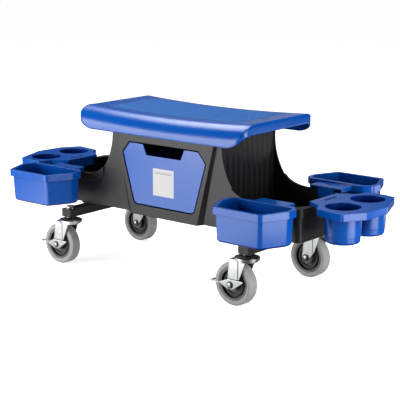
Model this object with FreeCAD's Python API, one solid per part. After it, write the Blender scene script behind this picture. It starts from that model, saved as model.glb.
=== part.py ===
import FreeCAD, Part
import math
import os

# A creeper seat: a saddle seat on a moulded pedestal with two tray wings, a drawer in the
# pedestal's front, hook-on bins and cup trays, and four swivel casters on two steel cross tubes.
# Millimetres. +X runs along the seat, -Y is the drawer side, +Z is up, and the origin is on the
# floor under the middle of the seat.

V = FreeCAD.Vector

# Clearances
run_gap = 0.05       # radial clearance of a shaft in its bore
face_gap = 0.3       # gap between flat faces of pieces that move apart
overrun = 5.0        # how far a cutting solid runs past what it cuts
touching = 1e-6      # points nearer than this are one point

# Cross tubes and where the casters stand
stem_x = 275.0
stem_y = 145.0
tube_w = 30.0
tube_h = 20.0
tube_wall = 2.0
tube_z = 123.0
tube_end_y = 157.5
plug_cap_t = 2.5
plug_depth = 14.0
plug_gap = 0.2

# Wheels
wheel_d = 100.0
tyre_w = 28.0
tyre_t = 12.0
tyre_round = 5.0
tyre_seat_w = 24.0
tyre_bevel = 2.0
hub_rim_t = 5.0
hub_web_w = 10.0
hub_boss_d = 30.0
hub_boss_w = 32.0
hub_ring_d = 54.0
hub_ring_t = 3.0
hub_ring_w = 18.0
sleeve_d = 16.0
axle_d = 10.0
axle_head_af = 17.0
axle_head_t = 4.0
axle_tip = 3.0

# Caster forks and their raceways
trail = 30.0
fork_inside = 34.0
fork_t = 2.5
wheel_top_gap = 6.0
crown_t = 3.0
crown_d = 50.0
leg_eye_r = 11.0
leg_back = 5.0
leg_front = 40.0
leg_waist_up = 16.0
leg_waist_front = 23.0
leg_step = 2.5
leg_crease = 19.0
stem_d = 12.0
stem_head_d = 20.0
stem_head_t = 3.0
ball_d = 6.0
ball_ring_d = 38.0
ball_count = 14
cap_d = 57.0
cap_t = 4.0
cap_skirt = 5.5
cap_skirt_t = 2.0
cap_neck_d = 34.0
collar_d = 24.0
stem_tip = 1.0
nut_af = 19.0
nut_t = 5.0
washer_d = 26.0
washer_t = 1.0

# Brake lever of the two front casters
lever_t = 2.0
lever_nose = 34.0
lever_nose_up = 9.0
lever_drop = 9.5
lever_rise = 12.5
lever_eye = 7.0
lever_round = 8.0
lever_tail = 30.0
pedal_reach = 57.0
pedal_clear = 1.5
pedal_w = 26.0
pedal_t = 2.0
pedal_up = 2.5

# Body: pedestal and wings in one moulding
wall = 3.0
body_z = 153.0
body_half_y = 102.0
wing_end_x = 383.0
body_corner_r = 14.0
rim_z = 229.0
deck_z = 380.0
deck_t = 4.0
deck_in = 19.0         # how far the deck's ends lie inside the seat's
deck_side_in = 40.0    # how far the deck's sides lie inside the seat's
swoop_top_x = 168.0
swoop_run = 94.0
swoop_top_drop = 28.0  # below the deck
# How far along the run, and how far down the drop, each point of the swoop lies
swoop_shares = ((0.0, 0.0), (0.01, 0.235), (0.085, 0.485), (0.21, 0.70), (0.39, 0.87), (0.65, 0.965),
                (1.0, 1.0))
lip_out = 4.0
lip_h = 20.0
lip_start_x = 198.0
rim_bead = 3.0
gusset_r = 45.0
gusset_t = 3.0
end_wall_x = 165.0
flute_r = 40.0
flute_out = 1.2
flute_count = 9
saddle_w = 44.0
saddle_l = 40.0
saddle_y = 62.0
tube_nut_t = 3.5
tube_bolt_tip = 0.5
nut_pocket_d = 17.0
nut_pocket_depth = 4.5

# Drawer bay: the raised front panel of the pedestal
bay_out = 8.0
bay_drop = 3.0
bay_top_drop = 14.0    # below the deck
bay_low_half = 102.0
bay_top_half = 157.0
bay_foot_low_half = 118.0
bay_foot_top_half = 158.0

# Drawer
face_t = 4.0
face_recess = 1.0
face_gap_round = 3.0
face_foot = 24.0       # above the body's underside
face_low_half = 91.0
face_low_r = 12.0
face_wide_drop = 25.0  # below the face's top
face_wide_half = 126.0
face_top_drop = 44.0   # below the bay's top
face_top_half = 105.0
face_corner_r = 4.0
notch_top_half = 64.0
notch_low_half = 53.0
notch_depth = 25.0
notch_r = 3.0
tub_wall = 2.5
tub_foot = 7.0         # above the face's foot
tub_low_half = 78.0
tub_top_drop = 37.0    # below the face's top
tub_top_half = 109.0
tub_rear_in = 17.0      # inside the body's rear
tub_lip_out = 10.0
tub_lip_t = 3.0
tub_corner_r = 8.0
runner_gap = 2.0
runner_w = 13.0
runner_h = 10.0
runner_arm_w = 20.0
runner_arm_in = 22.0
label_half_x = 32.0
label_low_share = 0.1862
label_top_share = 0.6345
label_t = 0.4

# Seat
seat_half_x = 254.0
seat_half_y = 137.0
seat_rise = 19.0       # above the deck's underside
seat_sag = 8.0
seat_t = 3.5
seat_sections = 7
front_roll_y = 50.0
front_roll_z = 33.0
rear_roll = 24.0
seat_corner_r = 24.0
end_round = 7.0
end_steps = 4
# How far below the seat's top the skirts' lower edge lies, and how far inside the seat's ends it bends up
skirt_drop = 52.0
rear_skirt_drop = 47.0
end_lip_drop = 23.0
skirt_flat_in = 46.0
skirt_mid_in = 14.0
skirt_mid_drop = 38.0
rear_flat_in = 49.0
rear_mid_in = 15.0
rear_mid_drop = 38.0
rib_y = 45.0
rib_t = 4.0
rib_in = 26.0
screw_in = 39.0
screw_d = 5.0
screw_head_d = 11.0
screw_head_t = 2.5
screw_sink = 4.0
screw_tail = 14.0
screw_socket_af = 4.5
boss_d = 20.0
dimple_d = 14.0

# Bins
bin_x = 318.5
bin_rim_z = 242.5
bin_rim_h = 16.0
bin_rim_out = 6.0
bin_t = 2.5
bin_low_z = 165.0
bin_front_y = 244.5
bin_wide_y = 180.5
bin_side_y = 152.0
bin_back_y = 137.0
bin_front_half = 63.7
bin_wide_half = 92.0
bin_side_half = 91.0
bin_back_half = 73.0
bin_corner_r = 11.0
bin_draft = 2.5
bin_foot = 3.0
bin_foot_h = 4.0

# Hook flanges that carry the bins and trays on the wings' rims
flange_t = 3.0
hook_t = 2.5
hook_h = 16.0
hook_gap = 1.0
bin_flange_half = 44.0
bin_hook_half = 21.0
bin_flange_z = 238.5
slot_w = 6.0
slot_half = 18.0
slot_r = 2.5

# Cup trays
tray_z = 237.5
tray_t = 3.0
tray_rim_h = 16.0
tray_front_x = 497.0
tray_front_half = 114.0
tray_side_x = 527.0
tray_side_half = 66.0
tray_end_x = 532.0
tray_end_y = 8.0
tray_rear_x = 495.0
tray_rear_half = 102.0
tray_back_x = 466.0
tray_back_half = 109.0
tray_shoulder_x = 424.0
tray_shoulder_half = 101.0
tray_neck_x = 413.0
tray_neck_half = 76.0
tray_flange_half = 52.0
tray_hook_half = 40.0
tray_slot_half = 24.0
tray_corner_r = 6.0
cup_x = 458.0
cup_y = 49.5
cup_d = 77.5
cup_low_d = 72.0
cup_t = 2.5
cup_low_z = 160.0
cup_round = 5.0
cup_round_share = 0.3
cup_step_z = 176.0
cup_step = 1.0

# Worked out from the sizes above
wheel_r = wheel_d / 2
tube_top = tube_z + tube_h
crown_z = wheel_d + wheel_top_gap
crown_top = crown_z + crown_t
cap_z = crown_top + ball_d + 2 * run_gap
leg_out = fork_inside / 2 + fork_t
nut_seat_z = body_z + wall - nut_pocket_depth
seat_top_z = deck_z + seat_rise
deck_half_x = seat_half_x - deck_in
deck_half_y = seat_half_y - deck_side_in
screw_x = seat_half_x - screw_in
rib_half_x = seat_half_x - rib_in
skirt_z = seat_top_z - skirt_drop
rear_skirt_z = seat_top_z - rear_skirt_drop
end_lip_z = seat_top_z - end_lip_drop
swoop_top_z = deck_z - swoop_top_drop
bay_top_z = deck_z - bay_top_drop
face_top_z = bay_top_z - face_top_drop
face_wide_z = face_top_z - face_wide_drop
face_low_z = body_z + face_foot
tub_low_z = face_low_z + tub_foot
tub_top_z = face_top_z - tub_top_drop
tub_rear_y = body_half_y - tub_rear_in
runner_arm_y = body_half_y - runner_arm_in
bay_y = body_half_y + bay_out
face_y = bay_y - face_recess
rim_low_x = swoop_top_x + swoop_run
opening_x = wing_end_x - wall - rim_bead
opening_y = body_half_y - wall - rim_bead
hook_x = opening_x - hook_gap
hook_y = opening_y - hook_gap


def box(x0, x1, y0, y1, z0, z1):
    """A block between two opposite corners."""
    return Part.makeBox(x1 - x0, y1 - y0, z1 - z0, V(x0, y0, z0))


def rod(diameter, z0, z1, x=0.0, y=0.0):
    """An upright cylinder."""
    return Part.makeCylinder(diameter / 2, z1 - z0, V(x, y, z0), V(0, 0, 1))


def cross_rod(diameter, y0, y1, x=0.0, z=0.0):
    """A cylinder along Y."""
    return Part.makeCylinder(diameter / 2, y1 - y0, V(x, y0, z), V(0, 1, 0))


def fuse(shapes):
    """One solid from overlapping or touching ones."""
    whole = shapes[0]
    for shape in shapes[1:]:
        whole = whole.fuse(shape)
    return whole.removeSplitter()


def outline(points, radius, place):
    """A closed wire with rounded corners. place puts a flat point (a, b) into space."""
    radii = radius if isinstance(radius, (list, tuple)) else [radius] * len(points)
    edges = []
    ends = []
    for i, (a, b) in enumerate(points):
        before = points[i - 1]
        after = points[(i + 1) % len(points)]
        u = V(before[0] - a, before[1] - b, 0)
        w = V(after[0] - a, after[1] - b, 0)
        here = V(a, b, 0)
        r = radii[i]
        if r <= 0:
            ends.append((here, here))
            continue
        half = u.getAngle(w) / 2
        reach = min(r / math.tan(half), u.Length / 2, w.Length / 2)
        r = reach * math.tan(half)
        u.normalize()
        w.normalize()
        middle = u + w
        middle.normalize()
        start = here + u * reach
        stop = here + w * reach
        mid = here + middle * (r / math.sin(half) - r)
        edges.append((i, Part.Arc(place(start.x, start.y), place(mid.x, mid.y), place(stop.x, stop.y))))
        ends.append((start, stop))
    arcs = dict(edges)
    wire = []
    for i in range(len(points)):
        if i in arcs:
            wire.append(arcs[i].toShape())
        stop = ends[i][1]
        start = ends[(i + 1) % len(points)][0]
        if (start - stop).Length > touching:
            wire.append(Part.LineSegment(place(stop.x, stop.y), place(start.x, start.y)).toShape())
    return Part.Wire(wire)


def flat(z):
    """Places flat points at height z."""
    return lambda a, b: V(a, b, z)


def upright(y):
    """Places flat points (x, z) in the plane at y."""
    return lambda a, b: V(a, y, b)


def prism(points, radius, z0, z1):
    """A rounded outline raised from z0 to z1."""
    return Part.Face(outline(points, radius, flat(z0))).extrude(V(0, 0, z1 - z0))


def slab(points, radius, y0, y1):
    """A rounded outline in X and Z drawn out from y0 to y1."""
    return Part.Face(outline(points, radius, upright(y0))).extrude(V(0, y1 - y0, 0))


def rectangle(half_x, half_y):
    """The corners of a rectangle about the origin."""
    return [(-half_x, -half_y), (half_x, -half_y), (half_x, half_y), (-half_x, half_y)]


def inset(points, distance):
    """The same outline moved inwards by a distance. The points run anticlockwise."""
    moved = []
    for i, point in enumerate(points):
        before = points[i - 1]
        after = points[(i + 1) % len(points)]
        lines = []
        for p, q in ((before, point), (point, after)):
            d = V(q[0] - p[0], q[1] - p[1], 0)
            d.normalize()
            lines.append((p[0] - d.y * distance, p[1] + d.x * distance, d.x, d.y))
        (ax, ay, au, av), (bx, by, bu, bv) = lines
        det = au * bv - av * bu
        s = ((bx - ax) * bv - (by - ay) * bu) / det
        moved.append((ax + au * s, ay + av * s))
    return moved


def mirror_x(shape):
    return shape.mirror(V(0, 0, 0), V(1, 0, 0))


def mirror_y(shape):
    return shape.mirror(V(0, 0, 0), V(0, 1, 0))


def turned(shape):
    """The shape turned half way round the vertical axis."""
    copy = shape.copy()
    copy.rotate(V(0, 0, 0), V(0, 0, 1), 180)
    return copy


def hexagon(across_flats, z0, z1, x=0.0, y=0.0):
    """An upright hexagonal prism."""
    r = across_flats / math.sqrt(3)
    turns = [math.radians(60 * i) for i in range(6)]
    corners = [(x + r * math.cos(turn), y + r * math.sin(turn)) for turn in turns]
    return prism(corners, 0, z0, z1)


def spun(points, centre, axis, start):
    """A solid of revolution. points are (along the axis, radius) and start is the radius direction."""
    corners = [centre + axis * a + start * r for a, r in points]
    corners.append(corners[0])
    face = Part.Face(Part.makePolygon(corners))
    return face.revolve(centre, axis, 360)


# Casters

def caster_stem():
    """The threaded stem with its raceway cap, fixed in the cross tube."""
    shaft_low = crown_z - face_gap - stem_head_t
    top = tube_top + washer_t + nut_t + stem_tip
    cap_r = cap_d / 2
    cap_top = cap_z + cap_t
    neck_r = cap_neck_d / 2
    collar_low = (cap_top + tube_z) / 2
    points = [(shaft_low, 0), (shaft_low, stem_head_d / 2), (crown_z - face_gap, stem_head_d / 2),
              (crown_z - face_gap, stem_d / 2), (cap_z, stem_d / 2), (cap_z, cap_r - cap_skirt_t),
              (cap_z - cap_skirt, cap_r - cap_skirt_t), (cap_z - cap_skirt, cap_r), (cap_z, cap_r),
              (cap_top, neck_r), (collar_low, collar_d / 2), (tube_z, collar_d / 2),
              (tube_z, stem_d / 2), (top - stem_tip / 2, stem_d / 2), (top, stem_d / 2 - stem_tip / 2),
              (top, 0)]
    return spun(points, V(0, 0, 0), V(0, 0, 1), V(1, 0, 0))


def stem_nut():
    """The hexagon nut and washer that hold the stem on the tube."""
    washer = rod(washer_d, tube_top, tube_top + washer_t)
    nut = hexagon(nut_af, tube_top + washer_t, tube_top + washer_t + nut_t)
    bore = rod(stem_d + 2 * run_gap, tube_top - overrun, tube_top + washer_t + nut_t + overrun)
    return fuse([washer, nut]).cut(bore)


def race_balls():
    """The ring of balls between the fork's crown and the raceway cap."""
    balls = []
    for i in range(ball_count):
        turn = 2 * math.pi * i / ball_count
        across = V(math.cos(turn), math.sin(turn), 0) * (ball_ring_d / 2)
        place = across + V(0, 0, crown_top + ball_d / 2)
        balls.append(Part.makeSphere(ball_d / 2, place))
    return Part.makeCompound(balls)


def fork():
    """The pressed fork: a round crown and two legs down to the axle."""
    crown = rod(crown_d, crown_z, crown_top)
    bridge = box(-trail - leg_back, leg_front - trail, -leg_out, leg_out, crown_z, crown_top)
    axle_x = -trail
    profile = [(axle_x - leg_back, crown_top), (axle_x - leg_eye_r, wheel_r), (axle_x, wheel_r - leg_eye_r),
               (axle_x + leg_eye_r, wheel_r), (axle_x + leg_waist_front, wheel_r + leg_waist_up),
               (axle_x + leg_front, crown_top)]
    radii = [0, leg_eye_r / 2, leg_eye_r, leg_eye_r / 2, leg_eye_r, 0]
    leg = slab(profile, radii, -leg_out, -fork_inside / 2)
    rib = slab(inset(profile, leg_step), 0, -leg_out - fork_t / 2, -leg_out)
    rib = rib.common(box(axle_x - leg_eye_r, axle_x + leg_crease, -leg_out - fork_t, -leg_out,
                         wheel_r + leg_eye_r + leg_step, crown_z))
    legs = [leg, mirror_y(leg), rib, mirror_y(rib)]
    body = fuse([crown, bridge] + legs)
    body = body.cut(rod(stem_d + 2 * run_gap, crown_z - overrun, crown_top + overrun))
    return body.cut(cross_rod(axle_d + 2 * run_gap, -leg_out - overrun, leg_out + overrun, axle_x, wheel_r))


def axle_bolt(extra):
    """The axle bolt with its head in front and nut behind. extra is room for a lever under the head."""
    reach = leg_out + extra
    shaft = cross_rod(axle_d, -reach, leg_out + axle_head_t + axle_tip)
    head = hexagon(axle_head_af, reach, reach + axle_head_t)
    nut = hexagon(axle_head_af, leg_out, leg_out + axle_head_t)
    head.rotate(V(0, 0, 0), V(1, 0, 0), 90)
    nut.rotate(V(0, 0, 0), V(1, 0, 0), -90)
    bolt = fuse([shaft, head, nut])
    bolt.translate(V(-trail, 0, wheel_r))
    return bolt


def sleeve():
    """The bush that the fork clamps and the wheel turns on."""
    centre = V(-trail, 0, wheel_r)
    half = fork_inside / 2
    points = [(-half, axle_d / 2 + run_gap), (half, axle_d / 2 + run_gap), (half, sleeve_d / 2),
              (-half, sleeve_d / 2)]
    return spun(points, centre, V(0, 1, 0), V(1, 0, 0))


def hub():
    """The moulded wheel core: boss, web, stiffening ring and rim."""
    bore = sleeve_d / 2 + run_gap
    rim_r = wheel_r - tyre_t
    half = [(hub_boss_w / 2, bore), (hub_boss_w / 2, hub_boss_d / 2), (hub_web_w / 2, hub_boss_d / 2),
            (hub_web_w / 2, hub_ring_d / 2 - hub_ring_t), (hub_ring_w / 2, hub_ring_d / 2 - hub_ring_t),
            (hub_ring_w / 2, hub_ring_d / 2), (hub_web_w / 2, hub_ring_d / 2),
            (hub_web_w / 2, rim_r - hub_rim_t), (tyre_seat_w / 2, rim_r - hub_rim_t), (tyre_seat_w / 2, rim_r)]
    points = half + [(-a, r) for a, r in reversed(half)]
    return spun(points, V(-trail, 0, wheel_r), V(0, 1, 0), V(1, 0, 0))


def tyre():
    """The moulded-on tyre with rounded shoulders."""
    rim_r = wheel_r - tyre_t
    centre = V(-trail, 0, wheel_r)
    half = tyre_w / 2
    seat = tyre_seat_w / 2
    corners = [(-seat, rim_r), (-half, rim_r + tyre_bevel), (-half, wheel_r - tyre_round),
               (tyre_round - half, wheel_r), (half - tyre_round, wheel_r), (half, wheel_r - tyre_round),
               (half, rim_r + tyre_bevel), (seat, rim_r)]
    points = [centre + V(0, a, r) for a, r in corners]
    bulge = tyre_round * (1 - math.sqrt(0.5))
    round_low = centre + V(0, bulge - half, wheel_r - bulge)
    round_high = centre + V(0, half - bulge, wheel_r - bulge)
    edges = []
    for i, start in enumerate(points):
        stop = points[(i + 1) % len(points)]
        if i == 2:
            edges.append(Part.Arc(start, round_low, stop).toShape())
        elif i == 4:
            edges.append(Part.Arc(start, round_high, stop).toShape())
        else:
            edges.append(Part.LineSegment(start, stop).toShape())
    return Part.Face(Part.Wire(edges)).revolve(centre, V(0, 1, 0), 360)


def brake_lever():
    """The pressed brake lever on the axle, with its pedal behind the tread."""
    axle_x = -trail
    outer = -leg_out - fork_t / 2 - face_gap - lever_t
    low = wheel_r + pedal_up - pedal_t
    profile = [(axle_x - lever_tail, low), (axle_x - lever_eye, wheel_r - lever_drop),
               (axle_x + lever_eye, wheel_r - lever_drop), (axle_x + lever_nose, wheel_r + lever_nose_up),
               (axle_x + lever_nose, wheel_r + lever_rise), (axle_x - lever_eye, wheel_r + lever_rise),
               (axle_x - lever_tail, wheel_r + pedal_up)]
    radii = [0, lever_round, lever_round, lever_t / 2, lever_t / 2, lever_round, 0]
    plate = slab(profile, radii, outer, outer + lever_t)
    tread_x = axle_x - wheel_r - pedal_clear
    arm = box(axle_x - pedal_reach, axle_x - lever_tail + pedal_t, outer, outer + lever_t, low,
              wheel_r + pedal_up)
    pad = box(axle_x - pedal_reach, tread_x, outer, outer + pedal_w, low, wheel_r + pedal_up)
    body = fuse([plate, arm, pad])
    bore = cross_rod(axle_d + 2 * run_gap, outer - overrun, outer + lever_t + overrun, axle_x, wheel_r)
    return body.cut(bore)


# Steel cross tubes

def cross_tube():
    """A rectangular tube along Y with a hole for each stem and each body bolt."""
    outer = box(-tube_w / 2, tube_w / 2, -tube_end_y, tube_end_y, tube_z, tube_top)
    inner = box(tube_wall - tube_w / 2, tube_w / 2 - tube_wall, -tube_end_y - overrun, tube_end_y + overrun,
                tube_z + tube_wall, tube_top - tube_wall)
    tube = outer.cut(inner)
    for y in (-stem_y, stem_y):
        tube = tube.cut(rod(stem_d + 2 * plug_gap, tube_z - overrun, tube_top + overrun, 0, y))
    for y in (-saddle_y, saddle_y):
        tube = tube.cut(rod(screw_d + 2 * plug_gap, tube_z - overrun, tube_top + overrun, 0, y))
    return tube


def tube_plugs():
    """The caps in the two ends of a tube."""
    half = tube_w / 2
    cap = box(-half, half, -tube_end_y - plug_cap_t, -tube_end_y, tube_z, tube_top)
    edges = [e for e in cap.Edges if all(abs(v.Y + tube_end_y + plug_cap_t) < face_gap for v in e.Vertexes)]
    cap = cap.makeFillet(plug_cap_t / 2, edges)
    inner = half - tube_wall - plug_gap
    body = box(-inner, inner, -tube_end_y, plug_depth - tube_end_y - stem_d, tube_z + tube_wall + plug_gap,
               tube_top - tube_wall - plug_gap)
    plug = fuse([cap, body])
    return Part.makeCompound([plug, mirror_y(plug)])


def tube_bolts():
    """The bolts that hold the body's saddles on a tube, with their nuts sunk in the wing's floor."""
    pieces = []
    for y in (-saddle_y, saddle_y):
        head = hexagon(screw_head_d, tube_z - screw_head_t, tube_z, 0, y)
        shaft = rod(screw_d, tube_z, nut_seat_z + tube_nut_t + tube_bolt_tip, 0, y)
        nut = hexagon(screw_head_d, nut_seat_z, nut_seat_z + tube_nut_t, 0, y)
        pieces.append(fuse([head, shaft, nut]))
    return Part.makeCompound(pieces)


# Body

def swoop_points():
    """The points of the right-hand swoop, from the pedestal down to the wing's rim."""
    drop = swoop_top_z - rim_z
    return [(swoop_top_x + a * swoop_run, swoop_top_z - b * drop) for a, b in swoop_shares]


def side_profile(lower, y0, y1):
    """What lies under the body's top edge, lowered by a distance, as a slab between y0 and y1."""
    points = [(x, z - lower) for x, z in swoop_points()]
    side = wing_end_x + lip_out + overrun
    low = body_z - overrun

    def at(x, z):
        return V(x, y0, z)

    def curve(sign):
        spline = Part.BSplineCurve()
        spline.interpolate([at(sign * x, z) for x, z in points])
        return spline.toShape()

    top = deck_z - lower
    (first_x, first_z), (last_x, last_z) = points[0], points[-1]
    right = [at(first_x, top), at(first_x, first_z)]
    corners = [at(last_x, last_z), at(side, last_z), at(side, low), at(-side, low), at(-side, last_z),
               at(-last_x, last_z)]
    edges = [Part.LineSegment(right[0], right[1]).toShape(), curve(1)]
    for p, q in zip(corners, corners[1:]):
        edges.append(Part.LineSegment(p, q).toShape())
    edges.append(curve(-1))
    left = [at(-first_x, first_z), at(-first_x, top)]
    edges.append(Part.LineSegment(left[0], left[1]).toShape())
    edges.append(Part.LineSegment(left[1], right[0]).toShape())
    wire = Part.Wire(Part.__sortEdges__(edges))
    return Part.Face(wire).extrude(V(0, y1 - y0, 0))


def trapezoid(low_z, low_half, top_z, top_half):
    return [(-low_half, low_z), (low_half, low_z), (top_half, top_z), (-top_half, top_z)]


def bay_shell():
    """The raised panel round the drawer, open behind, as an outer solid and the room inside it."""
    low = body_z - bay_drop
    front = trapezoid(low, bay_low_half, bay_top_z, bay_top_half)
    foot = trapezoid(body_z, bay_foot_low_half, bay_top_z, bay_foot_top_half)
    outer = Part.makeLoft([outline(front, 0, upright(-bay_y)),
                           outline(foot, 0, upright(wall / 2 - body_half_y))], True, True)
    room = Part.makeLoft([outline(inset(front, wall), 0, upright(wall - bay_y)),
                          outline(inset(foot, wall), 0, upright(wall + overrun - body_half_y))], True, True)
    return outer, room


def face_outline():
    """The drawer front's outline without its notch."""
    return [(-face_low_half, face_low_z), (face_low_half, face_low_z), (face_wide_half, face_wide_z),
            (face_top_half, face_top_z), (-face_top_half, face_top_z), (-face_wide_half, face_wide_z)]


def face_radii(extra):
    corner = face_corner_r + extra
    return [face_low_r + extra, face_low_r + extra, corner, corner, corner, corner]


def body_shell():
    """The black moulding: pedestal, wings, rim lips, drawer bay, end walls, floor and seat deck."""
    reach = body_half_y + lip_out + overrun
    under_edge = side_profile(0, -reach, reach)
    under_rim = side_profile(lip_h, -reach, reach)
    under_gusset = side_profile(gusset_t, -reach, reach)

    plan = rectangle(wing_end_x, body_half_y)
    solid = prism(plan, body_corner_r, body_z, deck_z)
    core = prism(inset(plan, wall), body_corner_r - wall, body_z + wall, deck_z + overrun)
    shell = solid.cut(core).common(under_edge)

    lip_plan = inset(plan, -lip_out)
    lip = prism(lip_plan, body_corner_r + lip_out, rim_z - lip_h, swoop_top_z)
    lip = lip.cut(prism(inset(plan, wall / 2), body_corner_r - wall / 2, body_z, deck_z))
    lip = lip.common(under_edge).cut(under_rim)
    lip = lip.cut(box(-lip_start_x, lip_start_x, -reach, reach, body_z, deck_z))

    opening = [(rim_low_x - gusset_r, -body_half_y), (rim_low_x, -body_half_y + wall),
               (rim_low_x + gusset_r / 2, -opening_y), (opening_x, -opening_y), (opening_x, opening_y),
               (rim_low_x + gusset_r / 2, opening_y),
               (rim_low_x, body_half_y - wall), (rim_low_x - gusset_r, body_half_y)]
    opening_radii = [0, 0, 0, gusset_r, gusset_r, 0, 0, 0]
    rim = prism(inset(plan, wall / 2), body_corner_r - wall / 2, rim_z - gusset_t, rim_z)
    rim = rim.cut(prism(opening, opening_radii, body_z, deck_z))
    rim = rim.cut(mirror_x(prism(opening, opening_radii, body_z, deck_z)))
    rim = rim.cut(box(-rim_low_x, rim_low_x, -reach, reach, body_z, deck_z))

    ends = []
    inner_y = body_half_y - wall / 2
    for side in (-1, 1):
        x0, x1 = sorted((side * end_wall_x, side * (end_wall_x - wall)))
        ends.append(box(x0, x1, -inner_y, inner_y, body_z + wall / 2, deck_z))
        pitch = 2 * inner_y / (flute_count + 1)
        for i in range(flute_count):
            y = pitch * (i + 1) - inner_y
            x = side * (end_wall_x + flute_out - flute_r)
            flute = rod(2 * flute_r, body_z + wall / 2, deck_z, x, y)
            keep = sorted((side * (end_wall_x - wall), side * (end_wall_x + flute_r)))
            ends.append(flute.common(box(keep[0], keep[1], -inner_y, inner_y, body_z, deck_z)))

    deck = prism(rectangle(deck_half_x, deck_half_y), body_corner_r, deck_z, deck_z + deck_t)

    saddles = []
    for x in (-stem_x, stem_x):
        for y in (-saddle_y, saddle_y):
            saddles.append(box(x - saddle_w / 2, x + saddle_w / 2, y - saddle_l / 2, y + saddle_l / 2,
                               tube_top, body_z))

    bay, room = bay_shell()
    shell = fuse([shell, lip, rim] + ends + [deck] + saddles + [bay]).cut(room)
    hole = slab(inset(face_outline(), -face_gap_round), face_radii(face_gap_round), -bay_y - overrun,
                wall - bay_y + run_gap)
    shell = shell.cut(hole)
    for x in (-stem_x, stem_x):
        for y in (-saddle_y, saddle_y):
            shell = shell.cut(rod(screw_d + 2 * run_gap, tube_z, body_z + wall + overrun, x, y))
            shell = shell.cut(rod(nut_pocket_d, nut_seat_z, body_z + wall + overrun, x, y))
    for x in (-screw_x, screw_x):
        shell = shell.cut(rod(screw_d + 2 * run_gap, deck_z - overrun, deck_z + deck_t + overrun, x, 0))
    return shell


# Drawer

def drawer_face():
    """The drawer's front with its finger notch."""
    face = slab(face_outline(), face_radii(0), -face_y, face_t - face_y)
    slope = (notch_top_half - notch_low_half) / notch_depth
    top_half = notch_top_half + slope * overrun
    notch = trapezoid(face_top_z - notch_depth, notch_low_half, face_top_z + overrun, top_half)
    cutter = slab(notch, [notch_r, notch_r, 0, 0], -face_y - overrun, face_t - face_y + overrun)
    return face.cut(cutter)


def drawer_tub():
    """The open tub behind the drawer's front, with the side lips that it hangs by."""
    outer_plan = trapezoid(tub_low_z, tub_low_half, tub_top_z, tub_top_half)
    front = face_t - face_y
    outer = slab(outer_plan, [tub_corner_r, tub_corner_r, 0, 0], front, tub_rear_y)
    slope = (tub_top_half - tub_low_half) / (tub_top_z - tub_low_z)
    inner_low = tub_low_half - tub_wall + slope * tub_wall
    inner_top = tub_top_half - tub_wall + slope * overrun
    inner_plan = trapezoid(tub_low_z + tub_wall, inner_low, tub_top_z + overrun, inner_top)
    inner = slab(inner_plan, [tub_corner_r - tub_wall, tub_corner_r - tub_wall, 0, 0], front + tub_wall,
                 tub_rear_y - tub_wall)
    lips = []
    for side in (-1, 1):
        x0, x1 = sorted((side * (tub_top_half - tub_wall), side * (tub_top_half + tub_lip_out)))
        lips.append(box(x0, x1, front, tub_rear_y, tub_top_z - tub_lip_t, tub_top_z))
    return fuse([outer.cut(inner)] + lips)


def drawer_runners():
    """The two rails inside the pedestal that carry the drawer's lips."""
    top = tub_top_z - tub_lip_t - face_gap
    end_y = body_half_y - wall
    rails = []
    for side in (-1, 1):
        inner = side * (tub_top_half + runner_gap)
        x0, x1 = sorted((inner, inner + side * runner_w))
        pieces = [box(x0, x1, -end_y, end_y, top - runner_h, top)]
        x0, x1 = sorted((inner, side * (end_wall_x - wall)))
        for y0 in (-runner_arm_y, runner_arm_y - runner_arm_w):
            pieces.append(box(x0, x1, y0, y0 + runner_arm_w, top - runner_h, top - runner_h / 2))
        rails.append(fuse(pieces))
    return Part.makeCompound(rails)


def drawer_label():
    """The blank label on the drawer's front."""
    face_h = face_top_z - face_low_z
    low, top = face_low_z + label_low_share * face_h, face_low_z + label_top_share * face_h
    return box(-label_half_x, label_half_x, -face_y - label_t, -face_y, low, top)


# Seat

def seat_section(x, thinner, low):
    """The seat's outline at x, with its rolled front and rear edges."""
    top = seat_top_z - seat_sag * (1 - (x / seat_half_x) ** 2) - thinner
    front = thinner - seat_half_y
    rear = seat_half_y - thinner
    front_y = front_roll_y - thinner
    front_z = front_roll_z - thinner
    rear_r = rear_roll - thinner
    turn = math.sqrt(0.5)
    p = [V(x, front, low), V(x, front, top - front_z), V(x, front + front_y, top), V(x, rear - rear_r, top),
         V(x, rear, top - rear_r), V(x, rear, low)]
    front_mid = V(x, front + front_y * (1 - turn), top - front_z * (1 - turn))
    rear_mid = V(x, rear - rear_r * (1 - turn), top - rear_r * (1 - turn))
    edges = [Part.LineSegment(p[0], p[1]).toShape(), Part.Arc(p[1], front_mid, p[2]).toShape(),
             Part.LineSegment(p[2], p[3]).toShape(), Part.Arc(p[3], rear_mid, p[4]).toShape(),
             Part.LineSegment(p[4], p[5]).toShape(), Part.LineSegment(p[5], p[0]).toShape()]
    return Part.Wire(edges)


def seat_block(thinner, low, half_x):
    """The seat's space, full size or thinner all round, with its ends rounded over."""
    straight = half_x - end_round
    steps = seat_sections - 1
    places = [straight * (2 * i / steps - 1) for i in range(seat_sections)]
    pieces = [Part.makeLoft([seat_section(x, thinner, low) for x in places], True, False)]
    for side in (-1, 1):
        rings = []
        for i in range(end_steps + 1):
            turn = math.pi / 2 * i / end_steps
            x = side * (straight + end_round * math.sin(turn))
            rings.append(seat_section(x, thinner + end_round * (1 - math.cos(turn)), low))
        pieces.append(Part.makeLoft(rings, True, True))
    return fuse(pieces)


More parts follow.
